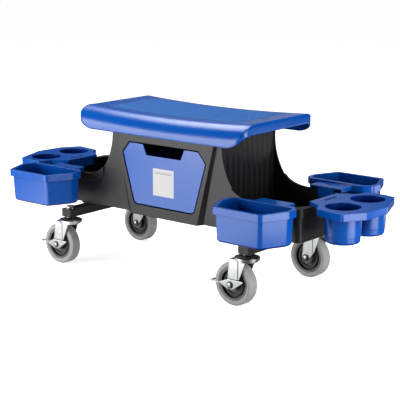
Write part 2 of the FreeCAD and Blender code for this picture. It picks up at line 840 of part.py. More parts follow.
def skirt_trim(low_z, flat_in, mid_in, mid_drop, y0, y1):
    """What is cut away under the skirt and the raised end lips."""
    flat_half = seat_half_x - flat_in
    mid_x = seat_half_x - mid_in
    mid_z = seat_top_z - mid_drop
    side = seat_half_x + overrun
    bottom = skirt_z - 2 * overrun

    def at(x, z):
        return V(x, y0, z)

    right_arc = Part.Arc(at(flat_half, low_z), at(mid_x, mid_z), at(seat_half_x, end_lip_z))
    left_arc = Part.Arc(at(-seat_half_x, end_lip_z), at(-mid_x, mid_z), at(-flat_half, low_z))
    corners = [at(seat_half_x, end_lip_z), at(side, end_lip_z), at(side, bottom), at(-side, bottom),
               at(-side, end_lip_z), at(-seat_half_x, end_lip_z)]
    edges = [right_arc.toShape()]
    for p, q in zip(corners, corners[1:]):
        edges.append(Part.LineSegment(p, q).toShape())
    edges.append(left_arc.toShape())
    edges.append(Part.LineSegment(at(-flat_half, low_z), at(flat_half, low_z)).toShape())
    return Part.Face(Part.Wire(edges)).extrude(V(0, y1 - y0, 0))


def seat_top():
    """The blue seat: a thin rolled shell with ribs and screw bosses underneath."""
    low = skirt_z - overrun
    blank = rectangle(seat_half_x, seat_half_y)
    outer = seat_block(0, low, seat_half_x).common(prism(blank, seat_corner_r, low, seat_top_z + overrun))
    inner_plan = prism(inset(blank, seat_t), seat_corner_r - seat_t, low - overrun, seat_top_z + overrun)
    inner = seat_block(seat_t, low - overrun, seat_half_x - seat_t).common(inner_plan)
    shell = outer.cut(inner)
    front_trim = skirt_trim(skirt_z, skirt_flat_in, skirt_mid_in, skirt_mid_drop, -seat_half_y - overrun, 0)
    rear_trim = skirt_trim(rear_skirt_z, rear_flat_in, rear_mid_in, rear_mid_drop, 0, seat_half_y + overrun)
    side, flank = seat_half_x + overrun, seat_half_y - seat_corner_r
    end_trim = box(-side, side, -flank, flank, low - overrun, end_lip_z)
    shell = shell.cut(front_trim).cut(rear_trim).cut(end_trim)
    rest_z = deck_z + deck_t
    extras = []
    for y in (-rib_y, rib_y):
        rib = box(-rib_half_x, rib_half_x, y - rib_t / 2, y + rib_t / 2, rest_z, seat_top_z)
        extras.append(rib.common(outer))
    for x in (-screw_x, screw_x):
        extras.append(rod(boss_d, rest_z, seat_top_z, x, 0).common(outer))
    shell = fuse([shell] + extras)
    for x in (-screw_x, screw_x):
        shell = shell.cut(rod(screw_d + 2 * run_gap, rest_z - overrun, seat_top_z + overrun, x, 0))
        shell = shell.cut(rod(dimple_d, seat_screw_z(), seat_top_z + overrun, x, 0))
    return shell


def seat_screw_z():
    """The floor of the screws' dimples."""
    return seat_top_z - seat_sag * (1 - (screw_x / seat_half_x) ** 2) - screw_sink


def seat_screws():
    """The screws that hold the seat on the deck."""
    floor = seat_screw_z()
    screws = []
    for x in (-screw_x, screw_x):
        head = rod(screw_head_d, floor, floor + screw_head_t, x, 0)
        slot = hexagon(screw_socket_af, floor + screw_head_t / 2, floor + screw_head_t + overrun, x, 0)
        shank = rod(screw_d, deck_z - screw_tail, floor, x, 0)
        screws.append(fuse([head, shank]).cut(slot))
    return Part.makeCompound(screws)


# Bins and cup trays

def bin_outline(out):
    """A bin's outline in plan about its own middle, moved outwards. The wing is at the +Y side."""
    points = [(-bin_front_half, -bin_front_y), (bin_front_half, -bin_front_y), (bin_wide_half, -bin_wide_y),
              (bin_side_half, -bin_side_y), (bin_back_half, -bin_back_y), (-bin_back_half, -bin_back_y),
              (-bin_side_half, -bin_side_y), (-bin_wide_half, -bin_wide_y)]
    return inset(points, -out)


def finger_slot(x0, x1, y0, y1, z0, z1):
    """A round-cornered slot through a flange."""
    points = [(x0, y0), (x1, y0), (x1, y1), (x0, y1)]
    return prism(points, slot_r, z0, z1)


def bin_loft(stations):
    """The solid through the bin's outline at each height, moved inwards by each distance."""
    pieces = []
    for (z0, in0), (z1, in1) in zip(stations, stations[1:]):
        low = outline(bin_outline(-in0), bin_corner_r, flat(z0))
        top = outline(bin_outline(-in1), bin_corner_r, flat(z1))
        pieces.append(Part.makeLoft([low, top], True, True))
    return fuse(pieces)


def side_bin():
    """A bin about its own middle, hanging outside the front wall by its hook flange."""
    rim_low = bin_rim_z - bin_rim_h
    foot_top = bin_low_z + bin_foot_h
    side_in = bin_rim_out + bin_draft
    body = bin_loft([(bin_low_z, side_in + bin_foot), (foot_top, side_in), (rim_low, bin_rim_out),
                     (bin_rim_z, bin_rim_out)])
    rim = prism(bin_outline(0), bin_corner_r, rim_low, bin_rim_z)
    hollow = bin_loft([(bin_low_z + bin_t, side_in + bin_foot + bin_t), (foot_top + bin_t, side_in + bin_t),
                       (bin_rim_z + overrun, bin_rim_out + bin_t)])
    shell = fuse([body, rim]).cut(hollow)
    return fuse([shell] + bin_flange()).cut(bin_slot())


def bin_flange():
    """The flange from the bin's rim over the wing's rim, its side skirts and its hook."""
    start = -bin_back_y - bin_rim_out
    half = bin_flange_half
    under = rim_z + face_gap
    plate = box(-half, half, start, -hook_y + hook_t, bin_flange_z - flange_t, bin_flange_z)
    pieces = [plate]
    for side in (-1, 1):
        x0, x1 = sorted((side * half, side * (half - flange_t)))
        pieces.append(box(x0, x1, start, -hook_y + hook_t, under, bin_flange_z))
    pieces.append(box(-bin_hook_half, bin_hook_half, -hook_y, -hook_y + hook_t, rim_z - hook_h, bin_flange_z))
    return pieces


def bin_slot():
    """The finger slot in the flange."""
    middle = -(bin_back_y + body_half_y + lip_out) / 2
    return finger_slot(-slot_half, slot_half, middle - slot_w / 2, middle + slot_w / 2, rim_z,
                       bin_flange_z + overrun)


def tray_outline():
    """The right-hand cup tray's outline in plan, wide part only. Its two long corners differ."""
    return [(tray_neck_x, -tray_neck_half), (tray_shoulder_x, -tray_shoulder_half),
            (tray_front_x, -tray_front_half), (tray_side_x, -tray_side_half), (tray_end_x, tray_end_y),
            (tray_rear_x, tray_rear_half),
            (tray_back_x, tray_back_half), (tray_shoulder_x, tray_back_half), (tray_neck_x, tray_neck_half)]


def cup(x, y):
    """One tapered cup as an outer solid and its hollow."""
    z0 = cup_low_z
    top_r = cup_d / 2
    low_r = cup_low_d / 2
    mid_r = low_r + (top_r - low_r) * (cup_step_z - z0) / (tray_z - z0)
    t = cup_t
    ease = cup_round * cup_round_share
    points = [(z0, 0), (z0, low_r + t - cup_round), (z0 + ease, low_r + t - ease), (z0 + cup_round, low_r + t),
              (cup_step_z, mid_r + t), (cup_step_z, mid_r + t + cup_step),
              (tray_z - tray_t / 2, top_r + t + cup_step), (tray_z - tray_t / 2, 0)]
    outer = spun(points, V(x, y, 0), V(0, 0, 1), V(1, 0, 0))
    room = [(z0 + t, 0), (z0 + t, low_r - cup_round / 2), (z0 + t + cup_round / 2, low_r),
            (tray_z, top_r), (tray_z + overrun, top_r), (tray_z + overrun, 0)]
    return outer, spun(room, V(x, y, 0), V(0, 0, 1), V(1, 0, 0))


def cup_tray():
    """The right-hand tray: a skirted plate with two cups and a hook flange."""
    plan = tray_outline()
    rim_low = tray_z - tray_rim_h
    plate = prism(plan, tray_corner_r, rim_low, tray_z)
    room = prism(inset(plan, tray_t), tray_corner_r - tray_t, rim_low - overrun, tray_z - tray_t)
    plate = plate.cut(room)
    cups = [cup(cup_x, y) for y in (-cup_y, cup_y)]
    whole = fuse([plate] + [outer for outer, hollow in cups] + tray_flange())
    for outer, hollow in cups:
        whole = whole.cut(hollow)
    slot_x = wing_end_x + lip_out + slot_w
    slot = finger_slot(slot_x - slot_w / 2, slot_x + slot_w / 2, -tray_slot_half, tray_slot_half, rim_z,
                       tray_z + overrun)
    return whole.cut(slot)


def tray_flange():
    """The tray's flange over the wing's end wall, its side skirts and its hook."""
    under = rim_z + face_gap
    inner = hook_x - hook_t
    outer = tray_neck_x + tray_t
    points = [(inner, -tray_flange_half), (outer, -tray_neck_half), (outer, tray_neck_half),
              (inner, tray_flange_half)]
    plate = prism(points, 0, tray_z - flange_t, tray_z)
    room = prism(inset(points, flange_t), 0, under - overrun, tray_z + overrun)
    skirt = prism(points, 0, under, tray_z).cut(room)
    hook = box(inner, hook_x, -tray_hook_half, tray_hook_half, rim_z - hook_h, tray_z)
    return [plate, skirt, hook]


# All nodes

def write(name, shape, x=0.0, y=0.0):
    """Writes one node, moved to its place."""
    placed = shape.copy()
    placed.translate(V(x, y, 0))
    placed.exportStep("parts/" + name + ".step")
    print(name, "volume", round(placed.Volume), "solids", len(placed.Solids), "valid", placed.isValid())


def main():
    os.makedirs("parts", exist_ok=True)
    write("base_shell", body_shell())
    write("seat_top", seat_top())
    write("seat_screws", seat_screws())
    write("drawer_runners", drawer_runners())
    write("drawer_tub", drawer_tub())
    write("drawer_face", drawer_face())
    write("drawer_label", drawer_label())

    tube, plugs, bolts = cross_tube(), tube_plugs(), tube_bolts()
    for side, x in (("left", -stem_x), ("right", stem_x)):
        write(side + "_cross_tube", tube, x)
        write(side + "_tube_plugs", plugs, x)
        write(side + "_tube_bolts", bolts, x)

    tray = cup_tray()
    write("right_cup_tray", tray)
    write("left_cup_tray", turned(tray))
    front_bin = side_bin()
    rear_bin = mirror_y(front_bin)
    for side, x in (("left", -bin_x), ("right", bin_x)):
        write("front_" + side + "_bin", front_bin, x)
        write("rear_" + side + "_bin", rear_bin, x)

    lever_room = lever_t + 2 * face_gap + fork_t / 2
    rear_room = fork_t / 2
    pieces = {"stem": caster_stem(), "stem_nut": stem_nut(), "race_balls": race_balls(), "fork": fork(),
              "sleeve": sleeve(), "hub": hub(), "tyre": tyre()}
    lever = brake_lever()
    for end, y in (("front", -stem_y), ("rear", stem_y)):
        bolt = axle_bolt(lever_room if end == "front" else 0.0)
        for side, x in (("left", -stem_x), ("right", stem_x)):
            corner = end + "_" + side + "_"
            for name, shape in pieces.items():
                write(corner + name, shape, x, y)
            write(corner + "axle_bolt", bolt, x, y)
            if end == "front":
                write(corner + "brake_lever", lever, x, y)


main()
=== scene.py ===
import math

import bpy
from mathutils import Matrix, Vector


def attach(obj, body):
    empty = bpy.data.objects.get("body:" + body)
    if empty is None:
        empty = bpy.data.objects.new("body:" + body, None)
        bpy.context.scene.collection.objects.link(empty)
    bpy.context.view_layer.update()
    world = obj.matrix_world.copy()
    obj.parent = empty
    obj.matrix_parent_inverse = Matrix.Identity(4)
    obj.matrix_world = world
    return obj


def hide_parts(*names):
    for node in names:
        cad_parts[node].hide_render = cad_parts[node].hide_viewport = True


# The looks of the creeper seat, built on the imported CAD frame. Metres throughout, +X along the seat,
# -Y the drawer side, +Z up.

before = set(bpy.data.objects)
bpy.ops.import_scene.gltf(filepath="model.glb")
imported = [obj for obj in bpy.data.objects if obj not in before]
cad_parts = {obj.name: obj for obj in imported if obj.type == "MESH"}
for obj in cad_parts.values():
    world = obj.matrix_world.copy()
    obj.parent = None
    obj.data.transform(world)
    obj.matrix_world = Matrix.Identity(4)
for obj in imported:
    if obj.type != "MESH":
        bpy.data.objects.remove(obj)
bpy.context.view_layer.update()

# The photograph's view
focal_mm = 106.7
sensor_mm = 36
camera_turn = 39.55
camera_lift = 12.76
camera_place = (1.79015, -2.1424, 0.80813)
camera_shift = 0.0017

# The studio's light, where 1 is white, and the place that the lamps look at
lit_middle = (0, 0, 0.25)
floor_size = 30
floor_lift = 0.78
mirrored_floor = (0.09, 0.09, 0.09)
mirrored_air = 0.015
mirrored_wall = 0.46
open_air = 0.24

# The pale wall that only shows in reflections: its top and its two sides, each a place and a fade
wall_top = (0.3, 0.1)
wall_wide = ((-0.63, 0.14), (-0.52, 0.06))

# Bright cards on the floor, and one hung over it, that only show in reflections. Each has its glow, two
# edges along X and two along Y, each a place and a fade, and how far its left edge leans.
front_card = {"glow": 3.3, "wide": ((-0.4, 0.24), (0.06, 0.1)), "deep": ((-2.2, 0.3), (-0.48, 0.2)),
              "lean": 0.6}
right_card = {"glow": 5.0, "wide": ((0.95, 0.15), (1.75, 0.2)), "deep": ((-0.34, 0.08), (0.18, 0.08))}
back_card = {"glow": 3.2, "wide": ((0.5, 0.15), (1.3, 0.2)), "deep": ((0.8, 0.12), (1.4, 0.2))}
near_card = {"glow": 0.7, "wide": ((-0.72, 0.1), (0.25, 0.1)), "deep": ((-0.55, 0.12), (0.05, 0.1))}
hung_card = {"glow": 8.0, "wide": ((-1.33, 0.14), (-0.9, 0.12)), "deep": ((-0.25, 0.3), (1.2, 0.75)),
             "lean": -0.3}
hung_card_size = (2.0, 3.4, 1)
hung_card_place = (-1.75, 0.6, 1.85)

# How far in front of the seat the front card gets brighter, and how much
front_card_far = (-1.2, 0.3)
front_card_gain = 1.4

# Colours, as linear light
seat_blue = (0.0, 0.071, 0.375)
pale_blue = (0.006, 0.105, 0.46)
# Painted shade: the colour that the blue plastic's hollows, creases and undersides are darkened to
shade_blue = (0.0, 0.002, 0.09)
# Painted shade and painted highlight: the seat is darker between its studs, and the studs are paler
gap_shade_blue = (0.0, 0.035, 0.21)
stud_highlight_blue = (0.02, 0.23, 0.66)
# Painted shade: the colour that the black plastic's hollows, creases and undersides, and the wheel cores'
# channels, are darkened to
shade_black = (0.001, 0.001, 0.0011)
moulding_black = (0.008, 0.008, 0.0085)
scuff_grey = (0.04, 0.04, 0.039)
core_grey = (0.12, 0.12, 0.121)
zinc_light = (0.62, 0.63, 0.64)
zinc_dark = (0.36, 0.365, 0.37)
steel_light = (0.62, 0.62, 0.63)
# Painted shade: the colour that metal is darkened to in hollows and between pieces
metal_shade = (0.02, 0.02, 0.021)
tread_grey = (0.35, 0.35, 0.35)
dust_grey = (0.42, 0.415, 0.4)
paint_black = (0.014, 0.014, 0.015)
label_white = (0.5, 0.5, 0.49)
rule_grey = (0.3, 0.3, 0.31)
floor_white = (0.86, 0.86, 0.86)

# How far the painted shade in hollows and creases reaches, and how much painted shade darkens the
# plastic's creases and undersides
hollow_reach = 0.09
crease_reach = 0.006
metal_reach = 0.02
crease_shade_depth = 0.7
underside_shade_depth = 0.8

# The moulds' fine grain
grain_size = 0.0009
grain_depth = 0.00006
stud_grain_depth = 0.00004

# The anti-slip field on the seat's top: its pitch, its edges, how far down the painted shade between its
# studs reaches, and the studs, which are made over the seat and set down on it, a little sunk
grip_pitch = 0.0076
grip_row = 0.0066
grip_half_x = 0.2
grip_front = -0.07
grip_rear = 0.114
grip_low_z = 0.38
stud_start_z = 0.41
stud_foot_radius = 0.0024
stud_top_radius = 0.0016
stud_height = 0.0009
stud_sunk = 0.0002

# The label's heading bar and the ruled lines below it
label_half_x = 0.026
heading_z = 0.259
heading_half = 0.0028
rule_pitch = 0.005
rules_low = 0.212
rules_high = 0.25

# Where the wheels are, and the rings round their axles
trail = 0.03
stem_x = 0.275
stem_y = 0.145
axle_z = 0.05
# Painted shade: the wheel core's channel between these radii is darkened
channel_inner_radius = 0.0235
channel_outer_radius = 0.033
side_ring_radius = 0.0405
shoulder_ring_radius = 0.0455
tread_radius = 0.047

# Axle bolts: how far the fork and what lies on it reach from the stem, and the sizes of the shaft, the
# domed cap, the washers and the nut, with their bevels
fork_reach = 0.0195
front_room = 0.00385
rear_room = 0.00125
shaft_radius = 0.005
shaft_tip = 0.003
shaft_bevel = 0.0008
cap_radius = 0.0055
cap_thick = 0.0022
cap_bevel = 0.0005
dome_radius = 0.0042
dome_rise = 0.00064
washer_radius = 0.0082
washer_thick = 0.0011
washer_bevel = 0.0003
nut_radius = 0.0098
nut_thick = 0.0029
nut_bevel = 0.0006


class Field:
    """A shader socket that takes part in sums, so that shader maths reads as Python."""

    def __init__(self, finish, socket):
        self.finish = finish
        self.socket = socket

    def math(self, operation, *values):
        """The result of a Math node on values or fields."""
        return self.finish.node("ShaderNodeMath", {"operation": operation}, dict(enumerate(values)))

    def __add__(self, other):
        return self.math("ADD", self, other)

    __radd__ = __add__

    def __mul__(self, other):
        return self.math("MULTIPLY", self, other)

    __rmul__ = __mul__

    def __sub__(self, other):
        return self.math("SUBTRACT", self, other)

    def __rsub__(self, other):
        return self.math("SUBTRACT", other, self)

    def __pow__(self, other):
        return self.math("POWER", self, other)

    def __abs__(self):
        return self.math("ABSOLUTE", self)

    def wave(self, pitch):
        """A sine along this field that crosses 0 once in each pitch, in metres."""
        return self.math("SINE", self * (math.pi / pitch))

    def above(self, edge, fade):
        """0 below an edge and 1 above it, with a soft step between."""
        values = {"Value": self, "From Min": edge - fade, "From Max": edge + fade}
        return self.finish.node("ShaderNodeMapRange", {"interpolation_type": "SMOOTHSTEP"}, values)

    def below(self, edge, fade):
        """1 below an edge and 0 above it."""
        return 1 - self.above(edge, fade)

    def between(self, low, high):
        """1 between two edges, each given as a place and a fade."""
        return self.above(*low) * self.below(*high)

    def line(self, place, half, fade):
        """1 along a thin line that reaches a half width to each side of a place."""
        return abs(self - place).below(half, fade)

    def spread(self, low, high):
        """A field from 0 to 1 stretched to run from low to high."""
        return self * (high - low) + low


class Finish:
    """One procedural material on a Principled shader."""

    def __init__(self, name, **sockets):
        self.material = bpy.data.materials.new(name)
        self.material.use_nodes = True
        self.tree = self.material.node_tree
        self.shader = self.tree.nodes["Principled BSDF"]
        self.feed(**sockets)

    def feed(self, **sockets):
        """Sets the shader's sockets to values or fields."""
        for name, value in sockets.items():
            self.join(value, self.shader.inputs[name.replace("_", " ")])

    def join(self, value, socket):
        """Links a field to a socket, or sets the socket to a plain value."""
        if isinstance(value, Field):
            self.tree.links.new(value.socket, socket)
        else:
            is_colour = socket.type == "RGBA" and len(value) == 3
            socket.default_value = (*value, 1) if is_colour else value

    def node(self, kind, settings=None, values=None, out=0):
        """Adds a node, its settings first and then its sockets, and returns one of its outputs."""
        made = self.tree.nodes.new(kind)
        for name, setting in (settings or {}).items():
            setattr(made, name, setting)
        for name, value in (values or {}).items():
            self.join(value, made.inputs[name])
        return Field(self, made.outputs[out])

    def ray(self, kind):
        """1 for rays of one kind, such as those from the camera."""
        return self.node("ShaderNodeLightPath", out=kind)

    def backdrop(self, straight, mirrored, light):
        """How bright a backdrop is: looked at straight or through glass, seen mirrored, and as light."""
        seen = self.ray("Is Camera Ray") + self.ray("Is Transmission Ray")
        gloss = self.ray("Is Glossy Ray")
        return seen * (straight - light) + gloss * (mirrored - light) + light

    def place(self):
        """The place on the object, in metres."""
        return self.node("ShaderNodeTexCoord", out="Object")

    def axes(self, place=None):
        """A place's X, Y and Z, that on the object if none is given."""
        split = self.node("ShaderNodeSeparateXYZ", values={0: place or self.place()})
        return [Field(self, output) for output in split.socket.node.outputs]

    def cloud(self, size, detail=3.0, place=None):
        """Soft noise from 0 to 1 with blots of a size in metres."""
        values = {"Vector": place or self.place(), "Scale": 1 / size, "Detail": detail}
        return self.node("ShaderNodeTexNoise", values=values)

    def stretched(self, x, y, z):
        """The place, squeezed so that noise on it runs in streaks."""
        return self.node("ShaderNodeMapping", values={"Vector": self.place(), "Scale": (x, y, z)})

    def mix(self, amount, first, second):
        """One colour turned into another."""
        return self.node("ShaderNodeMix", {"data_type": "RGBA"}, {0: amount, 6: first, 7: second}, out=2)

    def drift(self):
        """A slow, slight change of shade over a piece."""
        return self.cloud(0.12, 2.0).spread(0.0, 0.16)

    def hollows(self, reach, own=True):
        """0 in the open, up to 1 in hollows of a reach in metres: a piece's own, or between pieces too.
        The mask for painted shade.
        """
        settings = {"samples": 8, "only_local": own}
        return 1 - self.node("ShaderNodeAmbientOcclusion", settings, {"Distance": reach}, out="AO")

    def faces(self):
        """The mesh's own normal."""
        return self.node("ShaderNodeNewGeometry", out="Normal")

    def underside(self):
        """1 on faces that look down, which get painted shade."""
        return self.axes(self.faces())[2].below(-0.35, 0.25)

    def soft_edges(self, radius):
        """The normal with every edge eased to a radius in metres."""
        return self.node("ShaderNodeBevel", {"samples": 6}, {"Radius": radius})

    def edge_mask(self, radius, gain=6.0):
        """1 along the edges, fading to 0 within a radius in metres."""
        values = {0: self.soft_edges(radius), 1: self.faces()}
        alike = self.node("ShaderNodeVectorMath", {"operation": "DOT_PRODUCT"}, values, out="Value")
        return ((1 - alike) * gain).above(0.5, 0.5)

    def relief(self, height, depth, ease):
        """Surface relief of a depth in metres, with every edge eased to a radius."""
        values = {"Height": height, "Distance": depth, "Strength": 1.0, "Normal": self.soft_edges(ease)}
        return self.node("ShaderNodeBump", values=values)

    def grain(self, ease, depth=grain_depth):
        """The fine spark-eroded grain of moulded plastic."""
        return self.relief(self.cloud(grain_size, 1.0), depth, ease)


def moulded_plastic(name, colour, scuffed, shaded, roughness, ease, gloss=0.5):
    """Injection-moulded plastic with rubbed edges, and painted shade in its hollows, creases and
    undersides.
    """
    made = Finish(name, Specular_IOR_Level=gloss)
    worn = made.edge_mask(ease * 1.5) * made.cloud(0.03).above(0.5, 0.12)
    skin = made.mix(made.drift() + worn * 0.35, colour, scuffed)
    # Painted shade: hollows, creases and faces that look down are darkened towards the shaded colour
    deep = made.hollows(hollow_reach).above(0.4, 0.32)
    crease = made.hollows(crease_reach).above(0.45, 0.3) * crease_shade_depth
    lit = (1 - deep) * (1 - crease) * (1 - made.underside() * underside_shade_depth)
    made.feed(Base_Color=made.mix(1 - lit, skin, shaded))
    made.feed(Roughness=made.cloud(0.05).spread(roughness - 0.04, roughness + 0.05))
    made.feed(Normal=made.grain(ease))
    return made


def blue_moulding():
    """The bins', trays' and drawer's glossy blue."""
    return moulded_plastic("blue moulding", seat_blue, pale_blue, shade_blue, roughness=0.16, ease=0.0016)


def black_moulding():
    """The body's satin black."""
    return moulded_plastic("black moulding", moulding_black, scuff_grey, shade_black,
                           roughness=0.4, ease=0.002, gloss=0.33)


def grip_field(made):
    """1 over the anti-slip field on the seat's top."""
    x, y, z = made.axes()
    across = y.between((grip_front, 0.002), (grip_rear, 0.002))
    return abs(x).below(grip_half_x, 0.003) * across * z.above(grip_low_z, 0.002)


def blue_seat():
    """The seat's blue, rougher between its anti-slip studs, with painted shade there and in its hollows.
    """
    made = Finish("blue seat", Specular_IOR_Level=0.5)
    field = grip_field(made)
    skin = made.mix(made.drift(), seat_blue, pale_blue)
    # Painted shade: the seat's ground between the studs is darkened
    skin = made.mix(field * 0.8, skin, gap_shade_blue)
    # Painted shade in the seat's hollows
    made.feed(Base_Color=made.mix(made.hollows(hollow_reach).above(0.45, 0.35), skin, shade_blue))
    made.feed(Roughness=made.cloud(0.05).spread(0.0, 0.08) + field * 0.2 + 0.18, Normal=made.grain(0.006))
    return made


def blue_studs():
    """The studs' paler blue, a painted highlight."""
    made = Finish("blue studs", Specular_IOR_Level=0.5)
    # Painted highlight: the studs are paler than the seat
    made.feed(Base_Color=made.mix(made.cloud(0.12, 2.0).spread(0.6, 1.0), pale_blue, stud_highlight_blue))
    made.feed(Roughness=made.cloud(0.02).spread(0.3, 0.42), Normal=made.grain(0.0004, stud_grain_depth))
    return made


def axle_distance(made):
    """How far a place is from its wheel's axle."""
    x, _, z = made.axes()
    return ((abs(x + trail) - stem_x) ** 2 + (z - axle_z) ** 2) ** 0.5


def wheel_core():
    """The core's dark grey plastic, with painted shade in the channel round its web and in its hollows."""
    made = Finish("wheel core", Specular_IOR_Level=0.5)
    channel = axle_distance(made).between((channel_inner_radius, 0.001), (channel_outer_radius, 0.001))
    skin = made.mix(made.cloud(0.02) * 0.3, core_grey, scuff_grey)
    # Painted shade in the channel round the web, and in the core's hollows
    skin = made.mix(channel * 0.5, skin, shade_black)
    made.feed(Base_Color=made.mix(made.hollows(hollow_reach).above(0.4, 0.32), skin, moulding_black))
    made.feed(Roughness=made.cloud(0.05).spread(0.46, 0.55), Normal=made.grain(0.001))
    return made


def grey_tyre():
    """Dusty grey rubber with two fine rings on each side and the mould's parting line round the tread."""
    made = Finish("grey tyre", Specular_IOR_Level=0.35)
    dust = made.cloud(0.02, 4.0).above(0.52, 0.16)
    reach = axle_distance(made)
    rings = reach.line(shoulder_ring_radius, 0.0006, 0.0005) + reach.line(side_ring_radius, 0.0004, 0.0004)
    parting = abs(made.axes()[1]).line(stem_y, 0.0006, 0.0005) * reach.above(tread_radius, 0.001)
    rubber = made.mix(dust * 0.5, tread_grey, dust_grey)
    made.feed(Base_Color=made.mix((rings + parting * 0.5) * 0.6, rubber, core_grey))
    made.feed(Roughness=made.cloud(0.01).spread(0.55, 0.75))
    made.feed(Normal=made.relief(made.cloud(0.0015, 2.0), 0.00008, 0.0015))
    return made


def bright_zinc():
    """Bright zinc plate with faint spangle and drawn streaks, and painted shade in hollows and between
    pieces.
    """
    made = Finish("bright zinc", Metallic=1.0)
    spangle = made.cloud(0.012, 3.0)
    streak = made.cloud(0.004, 2.0, made.stretched(1, 1, 0.15))
    bare = made.mix(spangle.above(0.5, 0.25) * 0.35, zinc_light, zinc_dark)
    # Painted shade in hollows and where the zinc meets other pieces
    made.feed(Base_Color=made.mix(made.hollows(metal_reach, False).above(0.5, 0.3), bare, metal_shade))
    made.feed(Roughness=spangle.spread(0.24, 0.3) + streak * 0.04, Normal=made.soft_edges(0.0012))
    return made


def polished_steel():
    """Turned steel, with painted shade where it meets other pieces and in its hollows."""
    made = Finish("polished steel", Metallic=1.0)
    turned = made.cloud(0.003, 2.0)
    bare = made.mix(turned * 0.4, steel_light, zinc_dark)
    # Painted shade in hollows and where the steel meets other pieces
    made.feed(Base_Color=made.mix(made.hollows(metal_reach, False).above(0.45, 0.3), bare, metal_shade))
    made.feed(Roughness=turned.spread(0.1, 0.2), Normal=made.soft_edges(0.0006))
    return made


def powder_coat():
    """Black powder coat with orange peel, rubbed on the corners."""
    made = Finish("powder coat", Specular_IOR_Level=0.5)
    bare = made.edge_mask(0.0012) * made.cloud(0.02).above(0.6, 0.08)
    made.feed(Base_Color=made.mix(bare, paint_black, zinc_dark), Metallic=bare)
    made.feed(Roughness=made.cloud(0.02).spread(0.3, 0.42))
    made.feed(Normal=made.relief(made.cloud(0.002, 1.0), 0.00006, 0.001))
    return made


def washer_shade_steel():
    """Dark steel for the small washers, painted dark as the shade round the bolt heads."""
    made = Finish("washer shade steel", Metallic=0.6)
    # Painted shade: the washers are dark to stand in for the shade round the bolt heads
    made.feed(Base_Color=made.mix(made.cloud(0.002).above(0.6, 0.1) * 0.3, paint_black, steel_light))
    made.feed(Roughness=made.cloud(0.003).spread(0.3, 0.45), Normal=made.soft_edges(0.0004))
    return made


def blank_label():
    """A generic stuck-on label with a heading bar, ruled lines and nothing written."""
    made = Finish("ruled label", Specular_IOR_Level=0.5)
    x, _, z = made.axes()
    inside = abs(x).below(label_half_x, 0.0005)
    rules = abs(z.wave(rule_pitch)).below(0.25, 0.1) * z.between((rules_low, 0.0005), (rules_high, 0.0005))
    heading = z.line(heading_z, heading_half, 0.0005)
    made.feed(Base_Color=made.mix((rules * 0.3 + heading * 0.8) * inside, label_white, rule_grey))
    made.feed(Roughness=made.cloud(0.01).spread(0.35, 0.45))
    return made


def dress(words, finish):
    """Gives a finish to every CAD node with one of the words in its name."""
    for name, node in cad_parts.items():
        if any(word in name for word in words):
            node.data.materials.clear()
            node.data.materials.append(finish.material)


def finished(piece, name, body, finish):
    """Names a modelled piece, puts its place in its mesh and gives it its body and finish."""
    piece.name = name
    bpy.ops.object.transform_apply(location=True, rotation=True, scale=True)
    bpy.ops.object.shade_smooth_by_angle(angle=math.radians(35))
    piece.data.materials.clear()
    piece.data.materials.append(finish.material)
    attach(piece, body)


def applied(piece, kind, **settings):
    """Adds a modifier with its settings and applies it."""
    modifier = piece.modifiers.new(kind, kind)
    for name, setting in settings.items():
        setattr(modifier, name, setting)
    bpy.ops.object.modifier_apply(modifier=modifier.name)


def seat_studs(finish):
    """The anti-slip field: small six-sided studs in staggered rows that follow the seat's dip."""
    bpy.ops.object.select_all(action="DESELECT")
    bpy.ops.mesh.primitive_cone_add(vertices=6, radius1=stud_foot_radius, radius2=stud_top_radius,
                                    depth=stud_height, location=(-grip_half_x, grip_front, stud_start_z))
    studs = bpy.context.active_object
    feet = studs.vertex_groups.new(name="feet")
    tops = studs.vertex_groups.new(name="tops")
    for corner in studs.data.vertices:
        (tops if corner.co.z > 0 else feet).add([corner.index], 1.0, "REPLACE")
    bpy.ops.object.mode_set(mode="EDIT")
    bpy.ops.mesh.select_all(action="SELECT")
    bpy.ops.mesh.duplicate_move(TRANSFORM_OT_translate={"value": (grip_pitch / 2, grip_row, 0)})
    bpy.ops.object.mode_set(mode="OBJECT")
    columns = int(2 * grip_half_x / grip_pitch)
    row_pairs = int((grip_rear - grip_front) / grip_row / 2)
    for count, step in ((columns, (grip_pitch, 0, 0)), (row_pairs, (0, 2 * grip_row, 0))):
        applied(studs, "ARRAY", count=count, use_relative_offset=False, use_constant_offset=True,
                constant_offset_displace=step)
    bpy.ops.object.transform_apply(location=True)
    for group, height in (("feet", -stud_sunk), ("tops", stud_height)):
        applied(studs, "SHRINKWRAP", target=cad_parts["seat_top"], vertex_group=group, offset=height,
                wrap_method="PROJECT", use_project_z=True, use_negative_direction=True,
                use_positive_direction=False, wrap_mode="ABOVE_SURFACE")
    finished(studs, "seat_studs", "base", finish)


def disc(sides, radius, front, back, axle_x, bevel):
    """A bevelled disc or prism round a wheel's axle, from its front to its back along Y."""
    bpy.ops.object.select_all(action="DESELECT")
    bpy.ops.mesh.primitive_cylinder_add(vertices=sides, radius=radius, depth=back - front,
                                        location=(axle_x, (front + back) / 2, axle_z),
                                        rotation=(math.pi / 2, 0, 0))
    made = bpy.context.active_object
    bpy.ops.object.transform_apply(location=True, rotation=True)
    applied(made, "BEVEL", width=bevel, segments=2)
    return made


def dome(radius, rise, place):
    """A low dome that bulges along Y."""
    bpy.ops.object.select_all(action="DESELECT")
    bpy.ops.mesh.primitive_uv_sphere_add(segments=24, ring_count=12, radius=radius, location=place)
    made = bpy.context.active_object
    made.scale = (1, rise / radius, 1)
    bpy.ops.object.transform_apply(location=True, scale=True)
    return made


def joined(pieces):
    """Several meshes made one."""
    bpy.ops.object.select_all(action="DESELECT")
    for piece in pieces:
        piece.select_set(True)
    bpy.context.view_layer.objects.active = pieces[0]
    bpy.ops.object.join()
    return bpy.context.active_object


